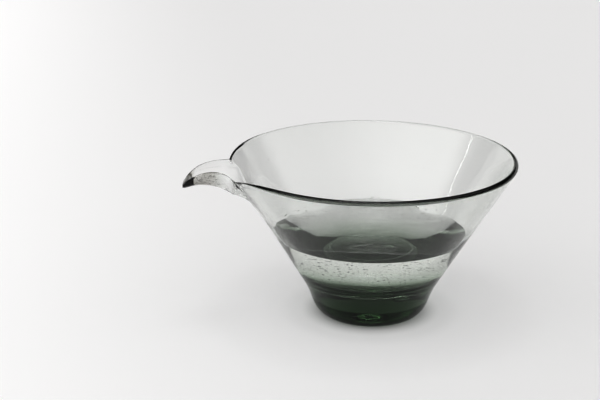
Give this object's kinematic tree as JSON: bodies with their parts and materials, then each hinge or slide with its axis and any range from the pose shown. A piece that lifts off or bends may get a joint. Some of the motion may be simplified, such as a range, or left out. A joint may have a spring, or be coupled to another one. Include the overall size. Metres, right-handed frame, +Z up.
{
  "type": "mixing bowl",
  "caption": "Hand-blown glass mixing bowl: thin conical wall, thick solid foot and a short beak-shaped pouring spout at the rim.",
  "frame": {"origin": "centre of the foot's flat underside, on the bowl's turning axis", "axes": "+Z up along the bowl's turning axis; -X towards the spout's tip; +Y completes a right-handed set"},
  "size_m": [0.1504, 0.1298, 0.073],
  "materials": {
    "foot_glass": "clear, dark grey-green in its thickness",
    "bowl_glass": "clear, faint grey-green, small seeds",
    "spout_glass": "clear, faint grey-green"
  },
  "bodies": {
    "root": {"glass_foot": "foot_glass", "bowl_wall": "bowl_glass", "pour_spout": "spout_glass"}
  },
  "joints": []
}
